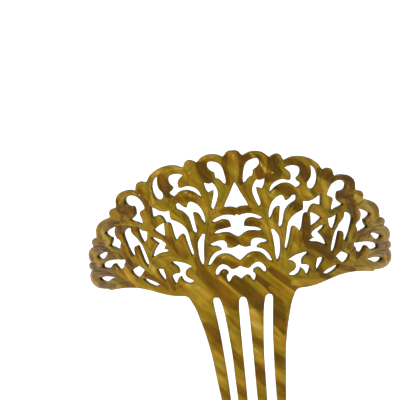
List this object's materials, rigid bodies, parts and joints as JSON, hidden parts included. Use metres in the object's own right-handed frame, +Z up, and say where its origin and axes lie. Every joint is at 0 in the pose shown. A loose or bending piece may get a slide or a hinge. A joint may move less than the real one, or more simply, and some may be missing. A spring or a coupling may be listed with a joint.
{
  "type": "decorative hair comb",
  "caption": "Fan-shaped pierced and carved hair comb heading on long tapering teeth, bent to the curve of the head, for holding and crowning an updo.",
  "frame": {"origin": "front face, at the middle of the line where the teeth leave the heading", "axes": "+Z up through the heading, +X to the right of someone looking at the front, +Y towards the wearer's head"},
  "size_m": [0.161, 0.0464, 0.153],
  "materials": {
    "honey_celluloid": "polished, translucent, honey with olive streaks",
    "olive_celluloid": "polished, translucent, olive with brown streaks",
    "amber_celluloid": "polished, translucent, amber with dark brown streaks"
  },
  "bodies": {
    "root": {"heel_bar": "honey_celluloid", "heel_scallops": "honey_celluloid", "middle_curls": "honey_celluloid", "arch_bar": "honey_celluloid", "crown_bud": "honey_celluloid", "tooth_1": "amber_celluloid", "tooth_2": "amber_celluloid", "tooth_3": "amber_celluloid", "tooth_4": "amber_celluloid", "left_lower_curl": "olive_celluloid", "left_upper_curl": "olive_celluloid", "left_lower_stem": "olive_celluloid", "left_upper_stem": "olive_celluloid", "left_crown_arm": "olive_celluloid", "left_rim_lobe_1": "olive_celluloid", "left_rim_bud_1": "olive_celluloid", "left_rim_lobe_2": "olive_celluloid", "left_bow_leaf": "olive_celluloid", "left_wing_root": "olive_celluloid", "left_inner_rail": "olive_celluloid", "left_outer_rail": "olive_celluloid", "left_wing_heart": "olive_celluloid", "left_wing_scroll": "olive_celluloid", "left_rim_bud_2": "olive_celluloid", "left_rim_lobe_3": "olive_celluloid", "left_wing_vein": "olive_celluloid", "left_wing_spray": "olive_celluloid", "left_rim_lobe_4": "olive_celluloid", "left_upper_tip": "olive_celluloid", "left_lower_tip": "olive_celluloid", "right_lower_curl": "honey_celluloid", "right_upper_curl": "honey_celluloid", "right_lower_stem": "honey_celluloid", "right_upper_stem": "honey_celluloid", "right_crown_arm": "honey_celluloid", "right_rim_lobe_1": "honey_celluloid", "right_rim_bud_1": "honey_celluloid", "right_rim_lobe_2": "honey_celluloid", "right_bow_leaf": "honey_celluloid", "right_wing_root": "honey_celluloid", "right_inner_rail": "honey_celluloid", "right_outer_rail": "honey_celluloid", "right_wing_heart": "honey_celluloid", "right_wing_scroll": "honey_celluloid", "right_rim_bud_2": "honey_celluloid", "right_rim_lobe_3": "honey_celluloid", "right_wing_vein": "honey_celluloid", "right_wing_spray": "honey_celluloid", "right_rim_lobe_4": "honey_celluloid", "right_upper_tip": "honey_celluloid", "right_lower_tip": "honey_celluloid"}
  },
  "joints": []
}
